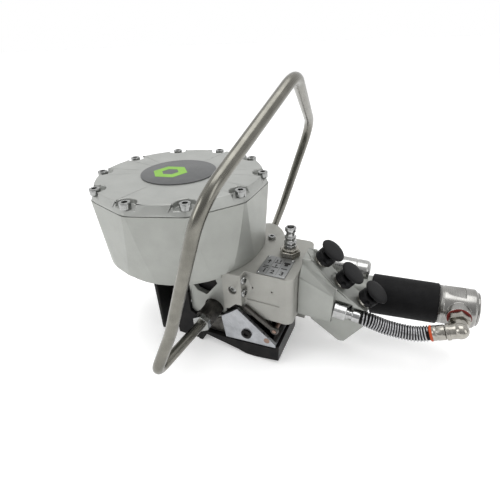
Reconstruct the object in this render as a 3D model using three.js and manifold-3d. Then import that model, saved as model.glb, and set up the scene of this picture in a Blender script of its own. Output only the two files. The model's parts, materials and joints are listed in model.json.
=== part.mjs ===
// Air-powered combination tool for steel strap: tensioner, sealer and cutter in one hand tool.
// Millimetres, +Z up, +X towards the handle, +Y towards the far side of the tool.
// Every X below is measured from the axis of the sealing cylinder; the whole tool is then moved
// so that the part's origin lies on the ground under the middle of its bounding box.
import * as THREE from "three";
import { ConvexGeometry } from "three/addons/geometries/ConvexGeometry.js";
import { mergeVertices } from "three/addons/utils/BufferGeometryUtils.js";
import Module from "manifold-3d";

const wasm = await Module();
wasm.setup();

// ---- Driving dimensions ----
const GAP = 0.3; // clearance between touching pieces
const DRUM_AXIS_X = -110.3; // cylinder axis in the part's own frame

const FLANGE_Z = 104; // joint between the housings and the cylinder
const JOINT_Z = 172; // joint between cylinder and cover
const COVER_Z = 182.5; // top of the cover
const CORNERS = 10; // screws, and corners of the cylinder's outline
const DRUM_FLAT_TOP = 86.7; // centre to flat at the joint
const DRUM_FLAT_BOTTOM = 86.0;
const DRUM_CORNER_TOP = 90.6; // centre to rounded corner at the joint
const DRUM_ROUND_BOTTOM = 86.6;
const BORE_R = 70;
const BORE_FLOOR_Z = 112;
const SCREW_CIRCLE_R = 85;
const SCREW_SEAT_Z = 177;
const SCREW_POCKET_R = 10.5;

const HOUSING_TOP_Z = FLANGE_Z - GAP;
const HOUSING_SPLIT_X = 65.4; // joint between sealer housing and gear housing
const SEALER_FACE_Y = -41.7;
const BLOCK = { x0: 86, x1: 136, y0: -38, y1: 43, z0: 49, edge: 8 };

const PIVOT = { x: 50, z: 50 }; // hinge axis of the carrying bail, along Y
const BAIL_ROD_R = 5;
const BAIL_HALF_WIDTH = 141.8;
const BAIL_LEAN = THREE.MathUtils.degToRad(17.5);

const WHEEL = { x: 92, z: 45, r: 20.5 }; // tension wheel axis, along Y
const MOTOR = { x0: 203, z0: 57.2, x1: 302, z1: 65.2, y: 36 }; // motor and grip axis
const GRIP_R = 21.4; // at the motor housing
const GRIP_END_R = 20.4;
const END_CAP_R = 19.3;
const END_CAP_X = 298.7;
const VALVE_TILT = THREE.MathUtils.degToRad(36); // valve axes lean towards the grip
const VALVE_FEET = [
  [151.8, 107.1],
  [172.8, 86.6],
  [196.8, 70.6],
];
const HOSE_R = 7.3;

const group = new THREE.Group();
group.position.set(DRUM_AXIS_X, 0, 0);

// ---- Finishes ----
const finish = (color, roughness, metalness) =>
  new THREE.MeshStandardMaterial({ color, roughness, metalness });
const FINISH = {
  casting: [0xaaaca5, 0.5, 0.55],
  cover: [0xacaeaa, 0.45, 0.55],
  housing: [0xa9a89d, 0.5, 0.5],
  black_steel: [0x161617, 0.5, 0.6],
  dark_steel: [0x3c3c3c, 0.45, 0.8],
  steel: [0x9a9d9f, 0.35, 0.9],
  stainless: [0x96918a, 0.3, 0.95],
  aluminium: [0xb4b2ad, 0.28, 0.9],
  nickel: [0xb4b0a0, 0.25, 0.95],
  zinc: [0x9ea09e, 0.3, 0.9],
  rubber: [0x101011, 0.75, 0.0],
  plastic: [0x0f0f10, 0.6, 0.0],
  badge: [0x646466, 0.5, 0.1],
  brass: [0x9c7a48, 0.35, 0.9],
};

// ---- Solids ----
// A geometry as a manifold solid: vertices merged, slivers at the poles dropped.
function solid(geometry) {
  const bare = geometry.clone();
  bare.deleteAttribute("normal");
  bare.deleteAttribute("uv");
  const merged = mergeVertices(bare, 1e-4);
  const corners = merged.index.array;
  const kept = [];
  for (let i = 0; i < corners.length; i += 3) {
    const [a, b, c] = [corners[i], corners[i + 1], corners[i + 2]];
    if (a !== b && b !== c && c !== a) kept.push(a, b, c);
  }
  const body = new wasm.Manifold(
    new wasm.Mesh({
      numProp: 3,
      vertProperties: new Float32Array(merged.attributes.position.array),
      triVerts: new Uint32Array(kept),
    }),
  );
  if (body.volume() > 0) return body;
  const flipped = new Uint32Array(kept.length);
  for (let i = 0; i < kept.length; i += 3) flipped.set([kept[i], kept[i + 2], kept[i + 1]], i);
  return new wasm.Manifold(
    new wasm.Mesh({
      numProp: 3,
      vertProperties: new Float32Array(merged.attributes.position.array),
      triVerts: flipped,
    }),
  );
}

const join = (...bodies) => bodies.reduce((all, body) => all.add(body));
const cut = (body, ...tools) => tools.reduce((left, tool) => left.subtract(tool), body);

function part(name, body, look) {
  const made = body.getMesh();
  const stride = made.numProp;
  const points = new Float32Array(made.numVert * 3);
  for (let i = 0; i < made.numVert; i++) {
    points.set(made.vertProperties.subarray(i * stride, i * stride + 3), i * 3);
  }
  const geometry = new THREE.BufferGeometry()
    .setAttribute("position", new THREE.BufferAttribute(points, 3))
    .setIndex(new THREE.BufferAttribute(new Uint32Array(made.triVerts), 1));
  geometry.computeVertexNormals();
  const mesh = new THREE.Mesh(geometry, finish(...FINISH[look]));
  mesh.name = name;
  group.add(mesh);
}

// ---- Shape helpers ----
const UP = new THREE.Vector3(0, 1, 0);
const vec = (x, y, z) => new THREE.Vector3(x, y, z);

// A box between two opposite corners.
function box(x0, y0, z0, x1, y1, z1) {
  const geometry = new THREE.BoxGeometry(x1 - x0, y1 - y0, z1 - z0);
  geometry.translate((x0 + x1) / 2, (y0 + y1) / 2, (z0 + z1) / 2);
  return solid(geometry);
}

// Turns a geometry made along +Y so that its +Y runs from one point to another.
function aim(geometry, from, to) {
  const way = to.clone().sub(from).normalize();
  geometry.applyQuaternion(new THREE.Quaternion().setFromUnitVectors(UP, way));
  return geometry.translate(from.x, from.y, from.z);
}

// A straight rod, or a cone where the two radii differ.
function rod(from, to, r0, sides = 24, r1 = r0, phase = 0) {
  const length = from.distanceTo(to);
  const geometry = new THREE.CylinderGeometry(r1, r0, length, sides, 1, false, phase);
  geometry.translate(0, length / 2, 0);
  return solid(aim(geometry, from, to));
}

// A turned body: [radius, distance along the axis] pairs, from one point towards another.
function turned(profile, from, to, sides = 24, phase = 0) {
  const points = profile.map(([r, d]) => new THREE.Vector2(r, d));
  return solid(aim(new THREE.LatheGeometry(points, sides, phase), from, to));
}

// A regular nut or hexagon bar by its width across flats.
function hexBar(from, to, acrossFlats, phase = 0) {
  const radius = acrossFlats / Math.sqrt(3);
  return rod(from, to, radius, 6, radius, phase);
}

// An outline in the XZ plane, extruded along Y.
function slabXZ(outline, y0, y1) {
  const shape = new THREE.Shape(outline.map(([x, z]) => new THREE.Vector2(x, z)));
  const geometry = new THREE.ExtrudeGeometry(shape, { depth: y1 - y0, bevelEnabled: false });
  geometry.rotateX(Math.PI / 2);
  geometry.translate(0, y1, 0);
  return solid(geometry);
}

// A rectangle in plan with rounded corners, extruded along Z.
function roundedBlock(x0, y0, z0, x1, y1, z1, radius) {
  const shape = new THREE.Shape();
  shape.moveTo(x0 + radius, y0);
  shape.lineTo(x1 - radius, y0);
  shape.absarc(x1 - radius, y0 + radius, radius, -Math.PI / 2, 0, false);
  shape.lineTo(x1, y1 - radius);
  shape.absarc(x1 - radius, y1 - radius, radius, 0, Math.PI / 2, false);
  shape.lineTo(x0 + radius, y1);
  shape.absarc(x0 + radius, y1 - radius, radius, Math.PI / 2, Math.PI, false);
  shape.lineTo(x0, y0 + radius);
  shape.absarc(x0 + radius, y0 + radius, radius, Math.PI, 1.5 * Math.PI, false);
  const geometry = new THREE.ExtrudeGeometry(shape, {
    depth: z1 - z0,
    bevelEnabled: false,
    curveSegments: 5,
  });
  geometry.translate(0, 0, z0);
  return solid(geometry);
}

// A bar of round section along a curve.
function bar(curve, radius, sides, steps) {
  const section = new THREE.Shape();
  for (let i = 0; i < sides; i++) {
    const angle = (2 * Math.PI * i) / sides;
    const point = [radius * Math.cos(angle), radius * Math.sin(angle)];
    if (i) section.lineTo(...point);
    else section.moveTo(...point);
  }
  return solid(
    new THREE.ExtrudeGeometry(section, { steps, bevelEnabled: false, extrudePath: curve }),
  );
}

// A polyline whose corners are rounded with quadratic bends that start `reach` before each corner.
function roundedPath(corners, reaches) {
  const path = new THREE.CurvePath();
  let start = corners[0];
  for (let i = 1; i < corners.length - 1; i++) {
    const into = corners[i - 1].clone().sub(corners[i]).setLength(reaches[i - 1]);
    const out = corners[i + 1].clone().sub(corners[i]).setLength(reaches[i - 1]);
    const bendStart = corners[i].clone().add(into);
    const bendEnd = corners[i].clone().add(out);
    path.add(new THREE.LineCurve3(start, bendStart));
    path.add(new THREE.QuadraticBezierCurve3(bendStart, corners[i], bendEnd));
    start = bendEnd;
  }
  path.add(new THREE.LineCurve3(start, corners[corners.length - 1]));
  return path;
}

// A vertical ten-cornered body whose corners are rounded off: [flat, corner, z] from below.
function drumBody(levels) {
  const toCorner = 1 / Math.cos(Math.PI / CORNERS);
  const flats = levels.map(([flat, , z]) => [flat * toCorner, z]);
  const rounds = levels.map(([, corner, z]) => [corner, z]);
  const close = (line) => [[0, line[0][1]], ...line, [0, line[line.length - 1][1]]];
  const from = vec(0, 0, 0);
  const to = vec(0, 0, 1);
  return turned(close(flats), from, to, CORNERS).intersect(turned(close(rounds), from, to, 60));
}

const screwAngles = Array.from({ length: CORNERS }, (_, k) => (k * 2 * Math.PI) / CORNERS);
const onCircle = (angle, r, z) => vec(r * Math.sin(angle), -r * Math.cos(angle), z);

// ---- Sealing cylinder and its cover ----
function cylinder() {
  const outside = drumBody([
    [DRUM_FLAT_BOTTOM, DRUM_ROUND_BOTTOM, FLANGE_Z],
    [DRUM_FLAT_TOP, DRUM_CORNER_TOP, JOINT_Z - GAP],
  ]);
  const bore = rod(vec(0, 0, BORE_FLOOR_Z), vec(0, 0, JOINT_Z + 1), BORE_R, 40);
  const rodHole = rod(vec(0, 0, FLANGE_Z - 1), vec(0, 0, BORE_FLOOR_Z + 1), 9.6, 24);
  const threads = screwAngles.map((angle) =>
    rod(onCircle(angle, SCREW_CIRCLE_R, 154), onCircle(angle, SCREW_CIRCLE_R, JOINT_Z), 3.4, 6),
  );
  part("cylinder_body", cut(outside, bore, rodHole, ...threads), "casting");
}

function cover() {
  const cap = drumBody([
    [DRUM_FLAT_TOP, DRUM_CORNER_TOP, JOINT_Z],
    [DRUM_FLAT_TOP - 0.3, DRUM_CORNER_TOP - 0.3, JOINT_Z + 3.5],
    [83.5, 88, COVER_Z],
  ]);
  const spigot = turned(
    [[64, 0], [69.5, 0], [69.5, 5], [64, 5], [64, 0]],
    vec(0, 0, JOINT_Z - 4),
    vec(0, 0, JOINT_Z),
    30,
  );
  const pockets = screwAngles.flatMap((angle) => [
    rod(
      onCircle(angle, SCREW_CIRCLE_R, SCREW_SEAT_Z),
      onCircle(angle, SCREW_CIRCLE_R, 190),
      SCREW_POCKET_R,
      18,
    ),
    rod(onCircle(angle, SCREW_CIRCLE_R, 165), onCircle(angle, SCREW_CIRCLE_R, 190), 3.4, 6),
  ]);
  part("cylinder_cover", cut(join(cap, spigot), ...pockets), "cover");

  screwAngles.forEach((angle, k) => {
    const at = (z) => onCircle(angle, SCREW_CIRCLE_R, z);
    const head = rod(at(SCREW_SEAT_Z + GAP), at(SCREW_SEAT_Z + GAP + 6), 5, 12);
    const shank = rod(at(157), at(SCREW_SEAT_Z + 1), 2.9, 6);
    const socket = rod(at(SCREW_SEAT_Z + 3.3), at(190), 2.9, 6);
    const number = String(k + 1).padStart(2, "0");
    part(`cover_screw_${number}`, cut(join(head, shank), socket), "zinc");
  });

  const badge = rod(vec(0, 0, COVER_Z + GAP), vec(0, 0, COVER_Z + 1.1), 37.5, 32);
  part("badge_disc", badge, "badge");
}

// ---- Piston, rod and return spring inside the cylinder ----
function ram() {
  const pistonBottom = 150;
  const pistonTop = 165;
  const piston = turned(
    [
      [0, 0], [69.3, 0], [69.3, 5], [66, 5], [66, 10], [69.3, 10],
      [69.3, pistonTop - pistonBottom], [0, pistonTop - pistonBottom],
    ],
    vec(0, 0, pistonBottom),
    vec(0, 0, pistonTop),
    30,
  );
  const rodSeat = rod(vec(0, 0, pistonBottom - 1), vec(0, 0, pistonTop + 1), 5.3, 16);
  part("piston", cut(piston, rodSeat), "aluminium");
  const seal = turned(
    [[66.4, 0], [69.6, 0.6], [69.6, 3.8], [66.4, 4.4], [66.4, 0]],
    vec(0, 0, pistonBottom + 5.3),
    vec(0, 0, pistonTop),
    30,
  );
  part("piston_seal", seal, "rubber");
  const ramRod = turned(
    [[0, 0], [9, 0], [9, 62], [5, 62], [5, 80], [0, 80]],
    vec(0, 0, pistonBottom - 62 - GAP),
    vec(0, 0, pistonTop),
    24,
  );
  part("ram_rod", ramRod, "steel");
  const punch = slabXZ(
    [[-14, 64], [18, 64], [18, 82], [8, 87], [-8, 87], [-14, 82]],
    -30,
    30,
  );
  const punchTeeth = [-22, -8, 6, 20].map((y) => box(-12, y, 59, 16, y + 4, 65));
  part("punch_block", join(punch, ...punchTeeth), "dark_steel");

  const springBottom = BORE_FLOOR_Z + 2.6;
  const springTop = pistonBottom - 2.6;
  const turns = 3.5;
  class SpringLine extends THREE.Curve {
    getPoint(t) {
      const angle = 2 * Math.PI * turns * t;
      const z = springBottom + (springTop - springBottom) * t;
      return vec(32 * Math.cos(angle), 32 * Math.sin(angle), z);
    }
  }
  part("return_spring", bar(new SpringLine(), 2.2, 5, 42), "steel");
}

// ---- Sealer housing under the cylinder, with its guards ----
const JAW_OUTLINE = [[0, 0], [27.6, 0], [27.6, 36], [21, 40], [21, 65], [0, 65]];
const WINDOW_OUTLINE = [[24.5, 92], [53.5, 92], [56.5, 83], [42.5, 65.5], [31, 68.5], [25, 77]];

function sealer() {
  const footprint = [
    [21, 97], [21, 38], [25, 36.5], [28, 37.5], [35, 43.5], [41, 38.5], [50, 36], [57, 39],
    [HOUSING_SPLIT_X, 50], [HOUSING_SPLIT_X, 97],
  ];
  const shell = slabXZ(footprint, SEALER_FACE_Y, -SEALER_FACE_Y);
  const plate = rod(vec(0, 0, 96), vec(0, 0, HOUSING_TOP_Z), 80, 40);
  const beyondSplit = box(HOUSING_SPLIT_X, -90, 30, 90, 90, 120);
  const capSpace = box(50, 42.6, 60, 90, 90, 120);
  const room = box(10, -35.5, 30, 55, 35.5, 92);
  const rodHole = rod(vec(0, 0, 90), vec(0, 0, 110), 9.6, 24);
  const window = slabXZ(WINDOW_OUTLINE, -50, -34);
  const sockets = [-1, 1].map((side) =>
    rod(vec(PIVOT.x, side * 37.2, PIVOT.z), vec(PIVOT.x, side * 50, PIVOT.z), 11.3, 24),
  );
  const spaces = [beyondSplit, capSpace, room, rodHole, window, ...sockets];
  const housing = cut(join(shell, plate), ...spaces);
  part("sealer_housing", housing, "casting");
  part("window_shield", box(22, -35.2, 60, 54.5, -32.5, 91.6), "black_steel");

  const frontPlate = box(-23.3, -47, 0, -19.3, 47, 95.7);
  const farPlate = box(-19.5, 43.5, 0, 20.5, 47, 95.7);
  part("front_guard", join(frontPlate, farPlate), "black_steel");
  const jawFace = slabXZ(JAW_OUTLINE, -45.6, SEALER_FACE_Y - GAP);
  const jawRib = box(0, SEALER_FACE_Y - 1, 0, 4, -32, 57);
  part("jaw_guard", join(jawFace, jawRib), "black_steel");
  const die = slabXZ([[4.4, 0], [26, 0], [26, 26], [22, 33], [9, 33], [4.4, 28]], -40, 34);
  const dieSlots = [-26, -12, 2, 16].map((y) => box(0, y, 27, 30, y + 7, 40));
  part("die_block", cut(die, ...dieSlots), "dark_steel");
}

// ---- Hinged carrying bail ----
function bail() {
  const point = (side, y, height, forward = 0) =>
    vec(
      PIVOT.x + height * Math.sin(BAIL_LEAN) + forward,
      side * y,
      PIVOT.z + height * Math.cos(BAIL_LEAN),
    );
  const end = 71;
  const corners = [
    point(-1, end, 0),
    point(-1, BAIL_HALF_WIDTH, 4.5, -3),
    point(-1, 132.5, 50.8),
    point(-1, 124.4, 169.3),
    point(1, 0, 234.6),
    point(1, 124.4, 169.3),
    point(1, 132.5, 50.8),
    point(1, BAIL_HALF_WIDTH, 4.5, -3),
    point(1, end, 0),
  ];
  const path = roundedPath(corners, [14, 10, 26, 17, 26, 10, 14]);
  part("bail", bar(path, BAIL_ROD_R, 8, 78), "stainless");
  [-1, 1].forEach((side) => {
    const label = side < 0 ? "near" : "far";
    const at = (y) => vec(PIVOT.x, side * y, PIVOT.z);
    const nut = hexBar(at(63.9), at(70.7), 17, Math.PI / 6);
    part(`bail_standoff_${label}`, join(hexBar(at(37.5), at(64), 19), nut), "dark_steel");
  });
}

// ---- Gear housing with its block and flange ----
const motorWay = vec(MOTOR.x1 - MOTOR.x0, 0, MOTOR.z1 - MOTOR.z0).normalize();
// The point of the motor axis at a given X.
function onMotor(x) {
  const z = MOTOR.z0 + ((x - MOTOR.x0) * motorWay.z) / motorWay.x;
  return vec(x, MOTOR.y, z);
}

function gearHousing() {
  const block = roundedBlock(
    BLOCK.x0 - 10, BLOCK.y0, BLOCK.z0, BLOCK.x1, BLOCK.y1, HOUSING_TOP_Z, BLOCK.edge,
  );
  const flangeFace = [
    [HOUSING_SPLIT_X + GAP, HOUSING_TOP_Z], [HOUSING_SPLIT_X + GAP, 58], [72, 60], [79, 67],
    [BLOCK.x0 + 0.2, 67], [BLOCK.x0 + 0.2, HOUSING_TOP_Z],
  ];
  const flange = slabXZ(flangeFace, -47, BLOCK.y1);
  const gearCase = box(HOUSING_SPLIT_X + GAP, 13.5, 17, BLOCK.x1, BLOCK.y1, HOUSING_TOP_Z - 20);
  const onWheel = (y) => vec(WHEEL.x, y, WHEEL.z);
  const wheelRoom = rod(onWheel(-33), onWheel(-5), WHEEL.r + 3, 32);
  const shaftHole = rod(onWheel(-36), onWheel(40), 7.4, 20);
  const crownRoom = rod(onWheel(15.5), onWheel(27), 26.5, 40);
  const pinionRoom = rod(onMotor(96), onMotor(142), 12, 24);
  const leverRoom = box(60, -42, 20, 126, -36, BLOCK.z0 + 0.1);
  const jointScrewHole = rod(vec(76.2, -48, 83.8), vec(76.2, -42.5, 83.8), 4.6, 16);
  const inletHole = rod(vec(118, 7.5, 88), vec(118, 7.5, 110), 6.4, 16);
  const stud = rod(vec(88.2, 33, 96), vec(88.2, 33, 106), 2.4, 10);
  const housing = cut(
    join(block, flange, gearCase),
    wheelRoom, shaftHole, crownRoom, pinionRoom, leverRoom, jointScrewHole, inletHole, stud,
  );
  part("gear_housing", housing, "housing");

  const cap = turned(
    [[0, 0], [19, 0], [19, 28], [17, 30.5], [0, 30.5]],
    vec(72.5, BLOCK.y1 + GAP, 83.5),
    vec(72.5, 100, 83.5),
    40,
  );
  part("side_cap", cut(cap, box(40, 40, HOUSING_TOP_Z - 1, 100, 80, 120)), "housing");
  part("instruction_plate", box(98, -36.5, FLANGE_Z, 127, -2.7, FLANGE_Z + 0.9), "aluminium");
}

// ---- Tension drive: wheel, crown wheel, pinion, rotor ----
// A toothed outline of count teeth between a root and a tip radius.
function gearOutline(count, root, tip) {
  const shape = new THREE.Shape();
  for (let k = 0; k < count; k++) {
    [[0, root], [0.3, tip], [0.6, tip], [0.9, root]].forEach(([part, radius], step) => {
      const angle = (2 * Math.PI * (k + part)) / count;
      const at = [radius * Math.cos(angle), radius * Math.sin(angle)];
      if (k || step) shape.lineTo(...at);
      else shape.moveTo(...at);
    });
  }
  return shape;
}

// A toothed disc from one point towards another.
function gear(count, root, tip, from, to) {
  const depth = from.distanceTo(to);
  const geometry = new THREE.ExtrudeGeometry(gearOutline(count, root, tip), {
    depth,
    bevelEnabled: false,
  });
  geometry.rotateX(-Math.PI / 2);
  return solid(aim(geometry, from, to));
}

function tensionDrive() {
  const onWheel = (y) => vec(WHEEL.x, y, WHEEL.z);
  part("tension_wheel", gear(24, WHEEL.r - 1.2, WHEEL.r, onWheel(-29), onWheel(-9)), "dark_steel");
  // The wheel and the crown wheel sit on the shaft's two ends, face to face with its shoulders.
  const shaft = rod(onWheel(-8.7), onWheel(15.7), 7, 20);
  part("wheel_shaft", shaft, "steel");
  part("crown_gear", gear(24, 22.5, 25, onWheel(16), onWheel(23)), "steel");

  const pinion = join(
    gear(12, 7.5, 10, onMotor(104), onMotor(114)),
    rod(onMotor(113), onMotor(147), 5, 16),
  );
  part("drive_pinion", pinion, "steel");
  // The air motor's rotor: a drum on a shaft, with five vanes standing out of it.
  const drum = rod(onMotor(204), onMotor(256), 9.5, 24);
  const vane = () => {
    const blade = new THREE.BoxGeometry(1.8, 51, 4);
    return blade.translate(0, 26, 10);
  };
  const vanes = Array.from({ length: 5 }, (_, k) => {
    const blade = vane().rotateY((2 * Math.PI * k) / 5);
    return solid(aim(blade, onMotor(204), onMotor(260)));
  });
  const rotor = join(drum, ...vanes, rod(onMotor(198), onMotor(262), 4, 12));
  part("motor_rotor", rotor, "steel");
}

// ---- Motor housing, grip and end cap ----
function handle() {
  // One turned casting: pinion tunnel, gearbox seat and rotor bore behind each other.
  const wall = [
    [7, 0], [14.2, 0], [14.2, 60], [18.8, 60], [18.8, 64.2], [17.4, 64.2], [17.4, 127.6],
    [13, 127.6], [13, 58], [10.7, 58], [10.7, 10.6], [7, 10.6], [7, 0],
  ];
  part("motor_housing", turned(wall, onMotor(138.6), onMotor(270), 28), "casting");
  const gearbox = cut(
    rod(onMotor(149.5), onMotor(195), 10.1, 24),
    rod(onMotor(190), onMotor(200), 5, 16),
  );
  part("planet_gearbox", gearbox, "steel");

  const sleeve = cut(
    rod(onMotor(203), onMotor(266), GRIP_R, 32, GRIP_END_R),
    rod(onMotor(200), onMotor(270), 17.8, 32),
  );
  part("grip_sleeve", sleeve, "rubber");

  const capLength = onMotor(266.3).distanceTo(onMotor(END_CAP_X));
  const capBody = turned(
    [
      [0, 0], [END_CAP_R, 0], [END_CAP_R, capLength - 2], [END_CAP_R - 2, capLength],
      [0, capLength],
    ],
    onMotor(266.3),
    onMotor(END_CAP_X),
    32,
  );
  const boss = rod(vec(283.2, 12.6, 67), vec(283.2, 24, 67), 11, 24);
  const lug = box(288, 20, 43, 296, 32, 56);
  const recess = box(272, 26, 81, 287, 44, 95);
  const feed = rod(onMotor(262), onMotor(286), 11, 24);
  part("end_cap", cut(join(capBody, boss, lug), recess, feed), "aluminium");
  const plug = turned(
    [[0, 0], [16.5, 0], [16.5, 1.2], [15.7, 2], [0, 2]],
    onMotor(END_CAP_X + GAP),
    onMotor(320),
    32,
  );
  part("end_plug", plug, "aluminium");

  const silencer = turned(
    [[0, 0], [12.6, 0], [12.6, 52], [10, 55], [0, 55]],
    vec(141, 62.6, 66),
    vec(200, 62.6, 66),
    32,
  );
  const silencerRoom = rod(vec(150, 62.6, 66), vec(200, 62.6, 66), 7, 20);
  const silencerLug = box(138.4, 43.4, 56, 145, 60, 78);
  const housingRoom = rod(onMotor(130), onMotor(150), 14.6, 24);
  const bracket = join(cut(silencer, silencerRoom), cut(silencerLug, housingRoom));
  part("exhaust_silencer", bracket, "aluminium");
}

// ---- Valve block, web and buttons ----
// The hose leaves the valve block along this line; distances run outwards from the block's face.
const HOSE_ROOT = vec(171.8, -12, 62.5);
const HOSE_WAY = vec(26.2, 0, -2.3).normalize();
const onHose = (distance) => HOSE_ROOT.clone().addScaledVector(HOSE_WAY, distance);

function valves() {
  const face = [[136.3, 52.5], [171.5, 52.5], [171.5, 84], [136.3, 98.7]];
  const crest = [[136.3, 108], [171.5, 86.5], [136.3, 60], [171.5, 60]];
  const corners = [
    ...face.map(([x, z]) => vec(x, -21, z)),
    ...crest.map(([x, z]) => vec(x, -11, z)),
    ...crest.map(([x, z]) => vec(x, 11, z)),
    ...face.map(([x, z]) => vec(x, 15.5, z)),
  ];
  const body = solid(new ConvexGeometry(corners));
  const ridge = slabXZ(
    [
      [136.3, 60], [136.3, 114], [144.7, 114], ...VALVE_FEET, [203, 66.4], [203, 54], [196, 50],
      [170, 53],
    ],
    -11,
    12,
  );
  const lean = vec(Math.sin(VALVE_TILT), 0, Math.cos(VALVE_TILT));
  const feet = VALVE_FEET.map(([x, z]) => vec(x, 0, z));
  const along = (foot, distance) => foot.clone().addScaledVector(lean, distance);
  const bores = feet.flatMap((foot) => [
    rod(along(foot, -20), along(foot, 5), 3.4, 12),
    rod(along(foot, 0.9), along(foot, 20), 11, 20),
  ]);
  const hoseRoom = [
    rod(onHose(-0.3), onHose(16), 10.8, 16),
    rod(onHose(15), onHose(40), 8, 16),
  ];
  part("valve_block", cut(join(body, ridge), ...bores, ...hoseRoom), "casting");

  const webOutline = [
    [143, 52.1], [147.5, 35], [179, 14], [185, 15.5], [202, 42], [203, 53], [196, 49.6], [170, 52],
  ];
  const web = slabXZ(webOutline, -4, 12);
  part("handle_web", web, "casting");

  const names = ["tension", "seal", "cut"];
  feet.forEach((foot, k) => {
    const collar = turned(
      [[0, 0], [9.2, 0], [10.4, 3], [10.4, 8.4], [8.8, 10.2], [0, 10.2]],
      along(foot, 1.2),
      along(foot, 40),
      16,
    );
    const lugs = rod(
      along(foot, 6.4).add(vec(0, -13, 0)),
      along(foot, 6.4).add(vec(0, 13, 0)),
      2.4,
      8,
    );
    const bore = rod(along(foot, -1), along(foot, 20), 4.8, 12);
    part(`${names[k]}_valve_collar`, cut(join(collar, lugs), bore), "plastic");
    const button = turned(
      [
        [0, 3], [3, 3], [3, 25], [4.2, 25], [4.2, 34.5], [6, 36], [12.6, 37.2], [12.6, 39.4],
        [11.8, 40.2], [0, 40.2],
      ],
      along(foot, -19),
      along(foot, 40),
      20,
    );
    part(`${names[k]}_button`, button, "plastic");
  });

  const onInlet = (z) => vec(118, 7.5, z);
  const adapter = join(
    hexBar(onInlet(FLANGE_Z), onInlet(112.5), 19, Math.PI / 6),
    rod(onInlet(94), onInlet(FLANGE_Z + 1), 6, 16),
    rod(onInlet(112), onInlet(113.6), 7, 20),
  );
  const airWay = rod(onInlet(90), onInlet(120), 3.6, 12);
  part("inlet_adapter", cut(adapter, airWay), "nickel");
  const plugProfile = [
    [0, 0], [6.2, 0], [6.2, 6.6], [5, 7.6], [5, 10], [6, 11], [6, 12.2], [4.4, 13.4],
    [4.4, 17.2], [5.8, 18.4], [5.8, 21.4], [5, 22.3], [0, 22.3],
  ];
  const plug = turned(plugProfile, onInlet(113.9), onInlet(150), 20);
  const plugWay = rod(onInlet(110), onInlet(140), 3.4, 12);
  part("inlet_plug", cut(plug, plugWay), "nickel");
}

// ---- Hose from the valve block to the motor's end cap ----
function hose() {
  const stem = turned(
    [[0, 0], [6.5, 0], [6.5, 3.3], [5.2, 3.3], [5.2, 6.3], [7, 6.3], [7, 13.7], [0, 13.7]],
    onHose(12),
    onHose(40),
    20,
  );
  part("hose_fitting", join(hexBar(onHose(0), onHose(12.5), 17), stem), "nickel");
  const hoseStart = onHose(26.3);
  const route = [
    hoseStart,
    onHose(32.5),
    vec(212, -11, 57.2),
    vec(221, -10, 54.4),
    vec(230, -9, 53),
    vec(239, -8.4, 52.6),
    vec(249.5, -7.7, 53.6),
    vec(260.5, -7, 57.6),
  ];
  part("hose", bar(new THREE.CatmullRomCurve3(route), HOSE_R, 12, 14), "dark_steel");

  const hoseEnd = route[route.length - 1];
  const corner = vec(283.2, -5.5, 67.4);
  const outWay = corner.clone().sub(hoseEnd).normalize();
  const onOut = (distance) => hoseEnd.clone().addScaledVector(outWay, distance);
  const collar = turned(
    [[0, 0], [5, 0], [5, 1.7], [7.1, 1.7], [7.1, 11.7], [6.5, 12.7], [0, 12.7]],
    onOut(0.5),
    onOut(30),
    20,
  );
  part("hose_collar", collar, "nickel");
  const ball = new THREE.SphereGeometry(7.6, 16, 10);
  ball.translate(corner.x, corner.y, corner.z);
  const neck = rod(onOut(13.5), corner, 6.9, 16);
  const toCap = rod(corner, vec(corner.x, 12, corner.z), 6.9, 16);
  const hexagon = hexBar(vec(corner.x, 4, corner.z), vec(corner.x, 12.3, corner.z), 17);
  part("elbow_fitting", join(solid(ball), neck, toCap, hexagon), "nickel");
}

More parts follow.
